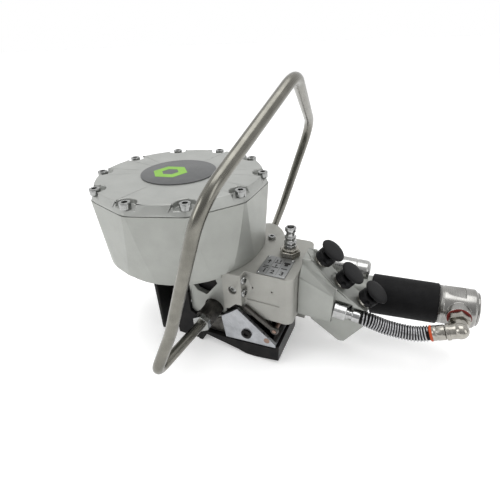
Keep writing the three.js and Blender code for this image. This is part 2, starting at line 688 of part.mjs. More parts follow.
// ---- Foot, side plate and gripper ----
function foot() {
  const sole = [
    [28, 13], [40, 11], [60, 7], [79, 3], [88, 0], [98, 0], [106, 1], [126, 4],
    [126, 20.5], [64, 15.7], [28, 15.7],
  ];
  const plate = slabXZ(sole, -47, 12);
  const endLip = box(122.6, -47, 15, 126, 12, 24);
  const upright = box(114, 3.5, 15, 126, 12, 33);
  const toe = box(28, -47, 0, 33, -30, 14);
  const screwHole = rod(vec(89.5, -50, 29.6), vec(89.5, -34, 29.6), 3.4, 12);
  part("base_foot", cut(join(plate, endLip, upright, toe), screwHole), "black_steel");

  const plateOutline = [[60.2, 45], [80, 60], [122.3, 24], [122.3, 20.6], [64, 16.1]];
  const side = slabXZ(plateOutline, -46, -42);
  const returnWall = slabXZ([[116, 20.2], [122.3, 20.7], [122.3, 25], [116, 25]], -43, 3);
  part("side_plate", cut(join(side, returnWall), screwHole), "steel");
  const at = (y) => vec(89.5, y, 29.6);
  const head = rod(at(-46.3), at(-49.6), 5.8, 20);
  const shank = rod(at(-48), at(-38.4), 3, 10);
  const socket = rod(at(-47.8), at(-52), 2.9, 6);
  part("side_plate_screw", cut(join(head, shank), socket), "black_steel");

  // Cutter block beside the side plate, over the strap.
  const cutter = slabXZ([[36, 16], [63.4, 16.2], [58.6, 38], [50, 35], [41, 35]], -41.4, -10);
  part("cutter_block", cutter, "dark_steel");

  // Gripper lever: a slim arm that turns on a pin between side plate and gear case.
  const pivot = { x: 119, z: 39 };
  const tip = { x: 85.5, z: 61.5 };
  const arm = vec(tip.x - pivot.x, 0, tip.z - pivot.z).normalize();
  const across = vec(-arm.z, 0, arm.x).multiplyScalar(2.3);
  const outline = [
    [pivot.x + across.x, pivot.z + across.z], [tip.x + across.x, tip.z + across.z],
    [tip.x - across.x, tip.z - across.z], [pivot.x - across.x, pivot.z - across.z],
  ];
  const onPivot = (y) => vec(pivot.x, y, pivot.z);
  const eye = rod(onPivot(-41.6), onPivot(-38.4), 4.4, 20);
  const pinHoleInLever = rod(onPivot(-45), onPivot(0), 2.6, 12);
  const lever = cut(join(slabXZ(outline, -41.6, -38.4), eye), pinHoleInLever);
  part("gripper_lever", lever, "dark_steel");
  part("lever_pin", rod(onPivot(-41.9), onPivot(13.2), 2.2, 12), "brass");
}

cylinder();
cover();
ram();
sealer();
bail();
gearHousing();
tensionDrive();
handle();
valves();
hose();
foot();

export default group;
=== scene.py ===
# %% [markdown]
# # An air tool for steel strap
# The object is a hand tool that tensions, seals and cuts steel strap with compressed air. The CAD
# model already holds every part at its true size, so this notebook only gives the parts their
# finish: rounded edges, turned and plated surfaces, a spring round the hose, print on the plates.

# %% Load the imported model
import json
import math
from bisect import bisect

import bmesh
import bpy
from mathutils import Matrix, Vector
from mathutils.geometry import interpolate_bezier


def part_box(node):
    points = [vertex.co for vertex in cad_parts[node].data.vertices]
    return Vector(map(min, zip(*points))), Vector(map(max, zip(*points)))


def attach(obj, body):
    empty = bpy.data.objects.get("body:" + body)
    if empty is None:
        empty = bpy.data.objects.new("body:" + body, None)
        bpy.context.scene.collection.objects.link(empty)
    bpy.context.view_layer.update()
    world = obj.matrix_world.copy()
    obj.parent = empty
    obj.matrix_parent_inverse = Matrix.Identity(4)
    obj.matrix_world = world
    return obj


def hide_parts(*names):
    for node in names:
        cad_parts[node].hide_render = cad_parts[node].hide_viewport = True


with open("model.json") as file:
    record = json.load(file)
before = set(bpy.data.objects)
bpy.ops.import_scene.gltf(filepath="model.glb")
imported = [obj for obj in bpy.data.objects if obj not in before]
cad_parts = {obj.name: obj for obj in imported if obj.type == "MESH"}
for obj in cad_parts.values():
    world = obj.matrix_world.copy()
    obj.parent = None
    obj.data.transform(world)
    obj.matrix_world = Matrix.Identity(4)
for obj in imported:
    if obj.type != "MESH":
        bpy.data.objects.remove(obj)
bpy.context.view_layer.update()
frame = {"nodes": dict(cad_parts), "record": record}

# %% [markdown]
# Sizes below are in millimetres, measured from the axis of the round sealing cylinder, because the
# makers' drawing of such a tool starts there too. One small function turns such a place into the
# frame's metres. The axis itself is the middle of the round badge on the cover.

# %% Places in the tool
MM = 0.001
badge_low, badge_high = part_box("badge_disc")
AXIS_X = (badge_low.x + badge_high.x) / 2


def at(x, y, z):
    return Vector((AXIS_X + x * MM, y * MM, z * MM))


MOTOR_WAY = Vector((99, 0, 8)).normalized()


def on_motor(x):
    return at(x, 36, 57.2 + (x - 203) * 8 / 99)


print("cylinder axis at x =", round(AXIS_X, 4))

# %% [markdown]
# ## Finishes
# Every finish is a small node tree on the Principled shader. All of them are made from a few
# building blocks: a grain (noise of a given size), lines (noise that varies along one direction
# only, as a lathe or a milling cutter leaves it), a tint between two colours and a relief.

# %% Building blocks for finishes
def new_finish(name, metallic, coat=0.0):
    finish = bpy.data.materials.new(name)
    finish.use_nodes = True
    shader = finish.node_tree.nodes["Principled BSDF"]
    shader.inputs["Metallic"].default_value = metallic
    shader.inputs["Coat Weight"].default_value = coat
    return finish, finish.node_tree, shader


def surface_place(tree, stretch=(1, 1, 1), output="Object"):
    place = tree.nodes.new("ShaderNodeTexCoord")
    mapping = tree.nodes.new("ShaderNodeMapping")
    mapping.inputs["Scale"].default_value = stretch
    tree.links.new(place.outputs[output], mapping.inputs["Vector"])
    return mapping.outputs["Vector"]


def grain(tree, vector, size, detail=3.0):
    noise = tree.nodes.new("ShaderNodeTexNoise")
    noise.inputs["Scale"].default_value = 1 / size
    noise.inputs["Detail"].default_value = detail
    tree.links.new(vector, noise.inputs["Vector"])
    return noise.outputs["Fac"]


def lines(tree, way, pitch):
    along = tree.nodes.new("ShaderNodeVectorMath")
    along.operation = "DOT_PRODUCT"
    along.inputs[1].default_value = way
    tree.links.new(surface_place(tree), along.inputs[0])
    noise = tree.nodes.new("ShaderNodeTexNoise")
    noise.noise_dimensions = "1D"
    noise.inputs["Scale"].default_value = 1 / pitch
    noise.inputs["Detail"].default_value = 2.0
    tree.links.new(along.outputs["Value"], noise.inputs["W"])
    return noise.outputs["Fac"]


def spread(tree, value, low, high):
    remap = tree.nodes.new("ShaderNodeMapRange")
    remap.inputs["From Min"].default_value = 0.3
    remap.inputs["From Max"].default_value = 0.7
    remap.inputs["To Min"].default_value = low
    remap.inputs["To Max"].default_value = high
    tree.links.new(value, remap.inputs["Value"])
    return remap.outputs["Result"]


def tint(tree, value, dark, light):
    ramp = tree.nodes.new("ShaderNodeValToRGB")
    ramp.color_ramp.elements[0].position = 0.3
    ramp.color_ramp.elements[0].color = (*dark, 1)
    ramp.color_ramp.elements[1].position = 0.7
    ramp.color_ramp.elements[1].color = (*light, 1)
    tree.links.new(value, ramp.inputs["Fac"])
    return ramp.outputs["Color"]


def relief(tree, shader, height, depth):
    bump = tree.nodes.new("ShaderNodeBump")
    bump.inputs["Distance"].default_value = depth
    tree.links.new(height, bump.inputs["Height"])
    tree.links.new(bump.outputs["Normal"], shader.inputs["Normal"])


def dress(tree, shader, colour, rough):
    tree.links.new(colour, shader.inputs["Base Color"])
    tree.links.new(rough, shader.inputs["Roughness"])


# %% [markdown]
# **Bead-blasted castings.** The cylinder, its cover and the housings are cast aluminium, blasted
# with fine beads, so they are satin and even, with a very fine pitting and faint cloudy patches
# where oil and hands have been. Two grains do that: one of half a millimetre for the pitting, one
# of two centimetres for the clouds.

# %% Castings
def blasted_casting(name, dark, light, metallic=0.55):
    finish, tree, shader = new_finish(name, metallic)
    place = surface_place(tree)
    clouds = grain(tree, place, 0.022, 4.0)
    pits = grain(tree, place, 0.0006, 2.0)
    dress(tree, shader, tint(tree, clouds, dark, light), spread(tree, pits, 0.36, 0.52))
    relief(tree, shader, pits, 0.00003)
    return finish


CASTING = blasted_casting("blasted casting", (0.30, 0.308, 0.288), (0.345, 0.353, 0.332))
COVER = blasted_casting("blasted cover", (0.33, 0.338, 0.322), (0.375, 0.383, 0.366))
HOUSING = blasted_casting("blasted housing", (0.305, 0.303, 0.28), (0.35, 0.347, 0.322))
print("castings:", CASTING.name, COVER.name, HOUSING.name)

# %% [markdown]
# **Cut steel and turned aluminium.** A cutter leaves fine parallel lines across its way, which
# break the reflections into streaks. The lines here are noise along one direction: across the side
# plate, and along the axis of the turned end cap and silencer, where they close into rings.

# %% Machined finishes
def machined(name, way, pitch, dark, light, rough, metallic=1.0):
    finish, tree, shader = new_finish(name, metallic)
    cuts = lines(tree, way, pitch)
    stains = grain(tree, surface_place(tree), 0.009, 4.0)
    dress(tree, shader, tint(tree, stains, dark, light), spread(tree, cuts, *rough))
    relief(tree, shader, cuts, 0.000012)
    return finish


MILLED = machined("milled steel", (0.8, 0, 0.6), 0.0006, (0.34, 0.35, 0.365), (0.46, 0.47, 0.49),
                  (0.26, 0.40))
TURNED = machined("turned aluminium", MOTOR_WAY, 0.0005, (0.26, 0.255, 0.244), (0.34, 0.335, 0.322),
                  (0.16, 0.32))
SILENCER = machined("turned silencer", (1, 0, 0), 0.0005, (0.36, 0.36, 0.352), (0.45, 0.45, 0.44),
                    (0.16, 0.30))
GROUND = machined("ground steel", (0, 0, 1), 0.0004, (0.34, 0.34, 0.35), (0.44, 0.44, 0.45),
                  (0.22, 0.34))
PRINTED_SHEET = machined("anodised sheet", (0, 1, 0), 0.0003, (0.22, 0.225, 0.225),
                         (0.28, 0.285, 0.285), (0.34, 0.46), 0.8)
BRONZE = machined("bronze pin", (0, 1, 0), 0.0003, (0.22, 0.15, 0.12), (0.30, 0.21, 0.17),
                  (0.30, 0.42))

# %% [markdown]
# **Brushed stainless rod.** The bail is polished lengthwise, so its scratches follow the rod round
# every bend. A pattern in space can't do that. The rod gets its own UV map in metres, round it and
# along it, and the noise is squeezed across the rod and stretched along it.

# %% Brushed rod
def brushed_rod(name, dark, light):
    finish, tree, shader = new_finish(name, 1.0)
    scratches = grain(tree, surface_place(tree, (2600, 60, 1), "UV"), 1.0, 3.0)
    blotches = grain(tree, surface_place(tree), 0.012, 4.0)
    dress(tree, shader, tint(tree, blotches, dark, light), spread(tree, scratches, 0.18, 0.34))
    relief(tree, shader, scratches, 0.000008)
    return finish


ROD = brushed_rod("brushed stainless", (0.15, 0.146, 0.128), (0.21, 0.204, 0.18))

# %% [markdown]
# **Plated parts.** Nickel and zinc are laid on in a bath, smooth and bright, and grow dull in
# patches. The colour hardly changes, so most of the grain goes into the roughness.

# %% Plated finishes
def plated(name, dark, light, rough, patch=0.004):
    finish, tree, shader = new_finish(name, 1.0)
    place = surface_place(tree)
    patches = grain(tree, place, patch, 5.0)
    fine = grain(tree, place, 0.0004, 2.0)
    dress(tree, shader, tint(tree, patches, dark, light), spread(tree, patches, *rough))
    relief(tree, shader, fine, 0.000006)
    return finish


NICKEL = plated("satin nickel", (0.29, 0.278, 0.25), (0.40, 0.385, 0.35), (0.16, 0.30))
CHROME = plated("bright plate", (0.34, 0.342, 0.34), (0.45, 0.452, 0.45), (0.10, 0.20))
ZINC = plated("zinc plate", (0.26, 0.265, 0.26), (0.38, 0.385, 0.38), (0.16, 0.30), 0.002)

# %% [markdown]
# **Black steel, rubber, plastic and print.** Oxidised steel is a thin black skin that wears brown
# and grey in patches. The grip is rubber with a pebbled skin, the buttons are moulded in a sparked
# cavity, and printed discs are a flat ink with a faint screen grain.

# %% Dark and printed finishes
def skinned(name, dark, light, rough, pebble, depth, metallic=0.0, patch=0.01):
    finish, tree, shader = new_finish(name, metallic)
    shader.inputs["Specular IOR Level"].default_value = 0.15
    place = surface_place(tree)
    wear = grain(tree, place, patch, 5.0)
    skin = grain(tree, place, pebble, 2.0)
    dress(tree, shader, tint(tree, wear, dark, light), spread(tree, skin, *rough))
    relief(tree, shader, skin, depth)
    return finish


BLACK_STEEL = skinned("black oxide steel", (0.005, 0.005, 0.006), (0.015, 0.014, 0.013),
                      (0.30, 0.46), 0.0008, 0.00002, 0.6)
HARD_STEEL = skinned("hardened steel", (0.055, 0.052, 0.048), (0.12, 0.115, 0.105),
                     (0.26, 0.42), 0.0008, 0.00002, 0.9, 0.006)
RUBBER = skinned("pebbled rubber", (0.004, 0.004, 0.0045), (0.008, 0.008, 0.0085),
                 (0.55, 0.78), 0.0009, 0.00008)
PLASTIC = skinned("sparked plastic", (0.004, 0.004, 0.0045), (0.007, 0.007, 0.0075),
                  (0.42, 0.60), 0.0005, 0.00003)
BADGE_INK = skinned("grey print", (0.100, 0.103, 0.104), (0.118, 0.121, 0.122),
                    (0.38, 0.48), 0.0004, 0.00001)
GREEN_INK = skinned("green print", (0.19, 0.40, 0.05), (0.23, 0.46, 0.065),
                    (0.38, 0.48), 0.0004, 0.00001)
BLACK_INK = skinned("black print", (0.010, 0.010, 0.010), (0.022, 0.022, 0.022),
                    (0.38, 0.50), 0.0004, 0.00001)
ORANGE_RUBBER = skinned("orange rubber", (0.42, 0.060, 0.018), (0.55, 0.085, 0.028),
                        (0.36, 0.52), 0.0004, 0.00002)
RED_FIBRE = skinned("red fibre", (0.13, 0.020, 0.016), (0.19, 0.030, 0.024),
                    (0.50, 0.66), 0.0004, 0.00003)
print(len(bpy.data.materials), "materials with the packed ones")

# %% [markdown]
# ## CAD parts that stay
# Inside the tool are parts whose CAD shape is right as it is: gears, rotor, piston, spring. They
# keep their mesh and get the finish of their material slot. The rest of the notebook replaces the
# visible ones by smoother pieces of the same shape.

# %% Finish of each CAD part
SLOT_FINISH = {
    "casting": CASTING,
    "cover_casting": COVER,
    "housing_casting": HOUSING,
    "black_steel": BLACK_STEEL,
    "dark_steel": HARD_STEEL,
    "steel": GROUND,
    "stainless": ROD,
    "aluminium": TURNED,
    "nickel": NICKEL,
    "zinc": ZINC,
    "rubber": RUBBER,
    "plastic": PLASTIC,
    "badge": BADGE_INK,
    "brass": BRONZE,
}
slot_of = {part["node"]: part["material_slot"] for part in frame["record"]["subparts"]}
body_of = {
    node: body
    for body, members in frame["record"]["behaviour"]["bodies"].items()
    for node in members
}
for name, node in frame["nodes"].items():
    if not node.material_slots:
        node.data.materials.append(None)
    for held in node.material_slots:
        held.link = "OBJECT"
        held.material = SLOT_FINISH[slot_of[name]]
print(len(frame["nodes"]), "CAD parts have a finish")

# %% [markdown]
# ## From a bmesh to a piece of the tool
# Every piece ends the same way: it becomes an object at the origin with its finish, flat faces
# stay crisp while round ones are smoothed, it is hung on the empty of the body it rides on, and
# the CAD parts it stands for are hidden.

# %% Helpers that finish a piece
def finished(name, bm, material, body, stands_for=(), sharp=32):
    mesh = bpy.data.meshes.new(name)
    bm.to_mesh(mesh)
    bm.free()
    mesh.materials.append(material)
    mesh.shade_smooth()
    mesh.set_sharp_from_angle(angle=math.radians(sharp))
    piece = bpy.data.objects.new(name, mesh)
    bpy.context.scene.collection.objects.link(piece)
    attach(piece, body)
    if stands_for:
        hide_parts(*stands_for)
    print(name, "-", len(mesh.polygons), "faces")
    return piece


def round_edges(bm, width, angle=30, segments=2):
    sharp = [
        edge for edge in bm.edges
        if len(edge.link_faces) == 2 and edge.calc_face_angle(0) > math.radians(angle)
    ]
    bmesh.ops.bevel(
        bm, geom=sharp, offset=width * MM, offset_type="OFFSET", segments=segments,
        profile=0.5, affect="EDGES", clamp_overlap=True, material=-1,
    )


# %% [markdown]
# **Turned parts.** Half of this tool comes off a lathe, so the most useful helper spins an outline
# round an axis. An outline is a list of radius and distance along the axis, as a turner would read
# it off a drawing. With six steps instead of ninety-six, the same helper makes a hexagon, so nuts
# come from it too. The spun rings are then bevelled, as no turned edge is left sharp.

# %% Helpers for turned parts
def lathe(outline, start, way, steps=96, edge=0.3, phase=0.0):
    bm = bmesh.new()
    verts = [bm.verts.new((radius * MM, 0, along * MM)) for radius, along in outline]
    pairs = list(zip(verts, verts[1:]))
    if outline[0][0] > 0:
        pairs.append((verts[-1], verts[0]))
    edges = [bm.edges.new(pair) for pair in pairs]
    bmesh.ops.spin(
        bm, geom=verts + edges, axis=(0, 0, 1), cent=(0, 0, 0), dvec=(0, 0, 0),
        angle=2 * math.pi, steps=steps, use_merge=True, use_duplicate=False,
    )
    bmesh.ops.remove_doubles(bm, verts=bm.verts, dist=1e-6)
    bmesh.ops.recalc_face_normals(bm, faces=bm.faces)
    if steps < 12:
        bmesh.ops.dissolve_limit(
            bm, angle_limit=math.radians(1), use_dissolve_boundaries=False,
            verts=bm.verts, edges=bm.edges,
        )
    if edge:
        round_edges(bm, edge)
    turn = Vector((0, 0, 1)).rotation_difference(Vector(way)).to_matrix().to_4x4()
    spun = Matrix.Rotation(math.radians(phase), 4, "Z")
    bmesh.ops.transform(bm, matrix=Matrix.Translation(start) @ turn @ spun, verts=bm.verts)
    return bm


def hexagon(across_flats, length):
    radius = across_flats / math.sqrt(3)
    return [(0, 0), (radius, 0), (radius, length), (0, length)]


def merged(*shapes):
    whole = bmesh.new()
    for shape in shapes:
        mesh = bpy.data.meshes.new("loose")
        shape.to_mesh(mesh)
        shape.free()
        whole.from_mesh(mesh)
        bpy.data.meshes.remove(mesh)
    return whole


# %% [markdown]
# **Cut and joined shapes.** Pockets, counterbores and bosses are cut or joined with Blender's
# Boolean modifier, as a milling cutter would cut them. The result is read back as a bmesh, so the
# next step can round its edges.

# %% Helper for cuts and joints
def carved(body, tool, operation="DIFFERENCE"):
    objects = []
    for label, shape in (("blank", body), ("cutter", tool)):
        mesh = bpy.data.meshes.new(label)
        shape.to_mesh(mesh)
        shape.free()
        made = bpy.data.objects.new(label, mesh)
        bpy.context.scene.collection.objects.link(made)
        objects.append(made)
    blank, cutter = objects
    step = blank.modifiers.new("cut", "BOOLEAN")
    step.operation = operation
    step.solver = "EXACT"
    step.object = cutter
    result = blank.evaluated_get(bpy.context.evaluated_depsgraph_get()).to_mesh()
    bm = bmesh.new()
    bm.from_mesh(result)
    for made in objects:
        mesh = made.data
        bpy.data.objects.remove(made)
        bpy.data.meshes.remove(mesh)
    bmesh.ops.remove_doubles(bm, verts=bm.verts, dist=1e-6)
    return bm


def block(low, high):
    bm = bmesh.new()
    size = high - low
    bmesh.ops.create_cube(bm, size=1)
    bmesh.ops.scale(bm, vec=size, verts=bm.verts)
    bmesh.ops.translate(bm, vec=(low + high) / 2, verts=bm.verts)
    return bm


# %% [markdown]
# **Cast and milled parts.** The housings are the CAD's own shapes. A copy of such a part is merged
# and its flat faces are joined into whole ones, and then a bevel breaks every sharp edge. Without
# it, metal looks like folded paper, because a real edge always catches a thin line of light.

# %% Helpers for copies of CAD parts
def copy_of(node):
    bm = bmesh.new()
    bm.from_mesh(frame["nodes"][node].data)
    bmesh.ops.remove_doubles(bm, verts=bm.verts, dist=2e-5)
    bmesh.ops.dissolve_limit(
        bm, angle_limit=math.radians(0.6), use_dissolve_boundaries=False,
        verts=bm.verts, edges=bm.edges,
    )
    return bm


def softened(node, material, edge=0.5, angle=30, bm=None):
    piece = finished(
        node + "_finished", bm or copy_of(node), material, body_of[node], [node],
    )
    broken = piece.modifiers.new("broken edges", "BEVEL")
    broken.width = edge * MM
    broken.segments = 2
    broken.limit_method = "ANGLE"
    broken.angle_limit = math.radians(angle)
    broken.use_clamp_overlap = False
    return piece


# %% [markdown]
# ## Sealing cylinder
# The cylinder is a cone that grows wider towards the top, with ten flats milled on it. The flats
# lean outwards less than the cone does, so a narrow triangle of cone is left between two flats,
# with its tip at the top. It is made here the same way: a blank is turned, and each flat is cut by
# a plane, with the cut filled again.

# %% Cylinder with ten flats
FLATS = 10
SCREW_CIRCLE = 85
SCREW_SEAT = 177
JOINT = 172
COVER_EDGE, COVER_TOP = 175.5, 182.5
FLAT_AT_JOINT, FLAT_AT_EDGE, RIM_RADIUS = 86.7, 86.4, 84.4
flat_angles = [math.radians(-90 + 360 / FLATS * (k + 0.5)) for k in range(FLATS)]
screw_angles = [math.radians(-90 + 360 / FLATS * k) for k in range(FLATS)]


def on_screw_circle(angle, z):
    return at(SCREW_CIRCLE * math.cos(angle), SCREW_CIRCLE * math.sin(angle), z)


# A plane turned away from its flat's middle stands off by up to a quarter of a millimetre, so that
# the planes of one flat don't all start from the same line.
def mill_flats(bm, radius_low, z_low, radius_high, z_high, turned_by=(0,)):
    for angle, turn in [(a, math.radians(t)) for a in flat_angles for t in turned_by]:
        reach = (radius_low + abs(turn)) / math.cos(turn)
        lean = (reach - radius_high) / (z_high - z_low)
        out = Vector((math.cos(angle + turn), math.sin(angle + turn), 0))
        cut = bmesh.ops.bisect_plane(
            bm, geom=bm.verts[:] + bm.edges[:] + bm.faces[:], dist=1e-7,
            plane_co=at(out.x * reach, out.y * reach, z_low),
            plane_no=(out + Vector((0, 0, lean))).normalized(), clear_outer=True,
        )
        rim = [item for item in cut["geom_cut"] if isinstance(item, bmesh.types.BMEdge)]
        bmesh.ops.holes_fill(bm, edges=rim, sides=0)
    return bm


UP = Vector((0, 0, 1))
cylinder = lathe(
    [(9.6, 104), (86.6, 104), (90.6, 171.7), (70, 171.7), (70, 112), (9.6, 112)],
    at(0, 0, 0), UP, steps=240, edge=0,
)
mill_flats(cylinder, 86.0, 104, FLAT_AT_JOINT, 171.7)
finished("cylinder_finished", cylinder, CASTING, "tool_frame", ["cylinder_body"], 4)

# %% [markdown]
# The cover has the same flats. Above them a shoulder slopes inwards to a rim that is nearly a
# circle, so five planes are cut over each flat, a few degrees apart. Ten round pockets for the
# screw heads are milled through the rim, which leaves the scalloped edge. Their rims are bright,
# because the cutter went through after blasting; a small bevel shows that.

# %% Cover with screw pockets
cover = lathe(
    [(0, JOINT), (64, JOINT), (64, 168), (69.5, 168), (69.5, JOINT), (90.6, JOINT),
     (90.3, COVER_EDGE), (88, COVER_TOP), (0, COVER_TOP)],
    at(0, 0, 0), UP, steps=240, edge=0,
)
mill_flats(cover, FLAT_AT_JOINT, JOINT, FLAT_AT_EDGE, COVER_EDGE)
shoulder_turns = (-14.4, -7.2, 0, 7.2, 14.4)
mill_flats(cover, FLAT_AT_EDGE, COVER_EDGE, RIM_RADIUS, COVER_TOP, shoulder_turns)
pockets = merged(*[
    lathe([(0, SCREW_SEAT), (10.5, SCREW_SEAT), (10.5, 190), (0, 190)],
          on_screw_circle(a, 0), UP, steps=48, edge=0)
    for a in screw_angles
])
cover = carved(cover, pockets)
print("open edges on the cover:", sum(not edge.is_manifold for edge in cover.edges))
softened("cylinder_cover", COVER, 0.7, 30, cover)

# %% [markdown]
# Ten socket screws hold the cover. One head is turned, its hexagon socket is cut, and the rest are
# copies, each turned a little differently, as screws stop where they are tight.

# %% Cover screws
def socket_head(radius, height, socket, depth, start, way, phase=0.0):
    head = lathe([(0, 0), (radius, 0), (radius, height), (0, height)], start, way, 40, 0.45)
    key = lathe(
        hexagon(socket, height), start + Vector(way) * (height - depth) * MM, way, 6, 0, phase,
    )
    return carved(head, key)


heads = merged(*[
    socket_head(5, 6, 5, 3, on_screw_circle(a, SCREW_SEAT + 0.3), UP, 17 * k)
    for k, a in enumerate(screw_angles)
])
screw_nodes = [name for name in frame["nodes"] if name.startswith("cover_screw")]
finished("cover_screws", heads, ZINC, "tool_frame", screw_nodes)

# %% [markdown]
# A round sticker lies in the middle of the cover. Its mark here is a plain hexagon ring, as a
# stand-in with no meaning. Sticker and ring are thin turned plates.

# %% Round sticker
sticker = lathe([(0, 0), (38.6, 0), (38.6, 0.8), (0, 0.8)], at(-1.3, -1, 182.8), UP, 128, 0.2)
finished("sticker", sticker, BADGE_INK, "tool_frame", ["badge_disc"])
ring = lathe([(9, 0), (18.5, 0), (18.5, 0.1), (9, 0.1)], at(-8.5, -6, 183.62), UP, 6, 0, 12)
finished("sticker_mark", ring, GREEN_INK, "tool_frame")

# %% [markdown]
# ## Housings
# The sealer housing carries the cylinder, and the gear housing is bolted to it. Both are the CAD's
# shapes with broken edges. The gear housing gets what is too small for the CAD: a milled groove
# and two pin holes on its near face.

# %% Gear housing and sealer housing
NEAR, FAR, ALONG = Vector((0, -1, 0)), Vector((0, 1, 0)), Vector((1, 0, 0))
details = merged(
    block(at(88, -39, 69.5), at(123, -37, 71.4)),
    lathe([(0, 0), (0.9, 0), (0.9, 5), (0, 5)], at(94.5, -35, 86), NEAR, 16, 0),
    lathe([(0, 0), (0.9, 0), (0.9, 5), (0, 5)], at(115, -35, 86), NEAR, 16, 0),
)
softened("gear_housing", HOUSING, 0.45, 40, carved(copy_of("gear_housing"), details))
softened("sealer_housing", CASTING, 0.45, 40)
softened("valve_block", CASTING, 0.9, 12)
softened("handle_web", CASTING, 0.9, 20)

# %% [markdown]
# Two screws stand on the flange's step, one more holds the joint of the two housings from the
# near side, and the last closes an oil hole beside the cylinder.

# %% Housing screws
flange_screws = merged(*[
    socket_head(4.3, 3, 4, 2, at(86.1, -42.6, z), ALONG, 20 * z) for z in (96.5, 81)
])
finished("flange_screws", flange_screws, ZINC, "tool_frame")
joint_screw = socket_head(3.6, 2.2, 3.4, 1.4, at(76.2, -42.7, 83.8), NEAR, 10)
finished("joint_screw", joint_screw, ZINC, "tool_frame")
top_screw = socket_head(4.2, 3.6, 4, 2, at(88.2, 33, 103.9), UP, 10)
finished("housing_screw", top_screw, ZINC, "tool_frame")

# %% [markdown]
# ## Carrying bail
# The bail is one stainless rod of 10 mm, bent eight times. A ring is extruded from place to place
# along its route, and each step is moved by the difference of two frames, so the tube never
# twists. While it grows, every vertex notes how far round and how far along it lies, and the UV
# map for the brushed finish is read from that.

# %% Helpers for bent rods
def bent(corners, reaches, steps=12):
    points = [corners[0]]
    for before, corner, after, reach in zip(corners, corners[1:], corners[2:], reaches):
        start = corner + (before - corner).normalized() * reach * MM
        end = corner + (after - corner).normalized() * reach * MM
        for k in range(steps + 1):
            t = k / steps
            points.append(start * (1 - t) ** 2 + corner * 2 * t * (1 - t) + end * t ** 2)
    return points + [corners[-1]]


def frames_along(points):
    frames = []
    turn = None
    for k, point in enumerate(points):
        way = (points[min(k + 1, len(points) - 1)] - points[max(k - 1, 0)]).normalized()
        if turn is None:
            turn = Vector((0, 0, 1)).rotation_difference(way)
        else:
            turn = last.rotation_difference(way) @ turn
        last = way
        frames.append(Matrix.Translation(point) @ turn.to_matrix().to_4x4())
    return frames


def swept(points, radius, sides):
    frames = frames_along(points)
    bm = bmesh.new()
    around = bm.verts.layers.float.new("around")
    along = bm.verts.layers.float.new("along")
    uv = bm.loops.layers.uv.new("UVMap")
    bmesh.ops.create_circle(bm, cap_ends=True, radius=radius * MM, segments=sides,
                            matrix=frames[0])
    for k, vert in enumerate(bm.verts):
        vert[around] = k / sides
    rim = bm.edges[:]
    travelled = 0.0
    for before, after in zip(frames, frames[1:]):
        grown = bmesh.ops.extrude_edge_only(bm, edges=rim)["geom"]
        fresh = {item for item in grown if isinstance(item, bmesh.types.BMVert)}
        rim = [
            item for item in grown
            if isinstance(item, bmesh.types.BMEdge) and fresh.issuperset(item.verts)
        ]
        bmesh.ops.transform(bm, matrix=after @ before.inverted(), verts=list(fresh))
        travelled += (after.translation - before.translation).length
        for vert in fresh:
            vert[along] = travelled
    bmesh.ops.contextual_create(bm, geom=rim)
    bmesh.ops.recalc_face_normals(bm, faces=bm.faces)
    for face in bm.faces:
        turns = [loop.vert[around] for loop in face.loops]
        for loop, turn in zip(face.loops, turns):
            wrapped = turn + 1 if max(turns) - turn > 0.5 else turn
            loop[uv].uv = (wrapped * 2 * math.pi * radius * MM, loop.vert[along])
    return bm


# %% Bail
LEAN = math.radians(17.5)


def on_bail(side, across, height, forward=0):
    x = 50 + height * math.sin(LEAN) + forward
    return at(x, side * across, 50 + height * math.cos(LEAN))


bail_corners = [
    on_bail(-1, 71, 0), on_bail(-1, 141.8, 4.5, -3), on_bail(-1, 132.5, 50.8),
    on_bail(-1, 124.4, 169.3),
    on_bail(1, 0, 234.6),
    on_bail(1, 124.4, 169.3),
    on_bail(1, 132.5, 50.8), on_bail(1, 141.8, 4.5, -3), on_bail(1, 71, 0),
]
bail_route = bent(bail_corners, [14, 10, 26, 17, 26, 10, 14])
bail_tube = swept(bail_route, 5, 32)
finished("bail_rod", bail_tube, ROD, "bail", ["bail"])

# %% [markdown]
# Each end of the rod turns in a dark hexagon standoff behind a bright nut. On the CAD model the
# two are one part; here they are two finishes.

# %% Standoffs and nuts of the bail
for label, way in (("near", NEAR), ("far", FAR)):
    side = way.y
    standoff = lathe(hexagon(19, 26.4), at(50, side * 37.5, 50), way, 6, 0.35, 0)
    finished("standoff_" + label, standoff, HARD_STEEL, "tool_frame",
             ["bail_standoff_" + label], 15)
    nut = lathe(hexagon(17, 6.8), at(50, side * 63.9, 50), way, 6, 0.5, 30)
    finished("bail_nut_" + label, nut, ZINC, "tool_frame", sharp=15)

# %% [markdown]
# ## Side cap, motor housing, silencer and grip
# Behind the gear housing the tool is all turned parts on two axes: the motor with its grip, and
# the exhaust silencer beside it.

# %% Turned housings
cap = lathe([(0, 0), (19, 0), (19, 28), (17, 30.5), (0, 30.5)], at(72.5, 43.3, 83.5), FAR,
            96, 0.8)
finished("side_cap_finished", cap, HOUSING, "tool_frame", ["side_cap"])
motor_wall = [
    (7, 0), (14.2, 0), (14.2, 60), (18.8, 60), (18.8, 64.2), (17.4, 64.2), (17.4, 127.6),
    (13, 127.6), (13, 58), (10.7, 58), (10.7, 10.6), (7, 10.6),
]
motor = lathe(motor_wall, on_motor(138.6), MOTOR_WAY, 96, 0.4)
finished("motor_finished", motor, CASTING, "tool_frame", ["motor_housing"])
silencer_tube = lathe(
    [(7, 9), (7, 55), (10, 55), (12.6, 52), (12.6, 41), (12.2, 40.4), (12.2, 39.6), (12.6, 39),
     (12.6, 0), (0, 0), (0, 9)],
    at(141, 62.6, 66), ALONG, 96, 0.25,
)
bracket = block(at(138.6, 43.6, 56), at(145, 55, 78))
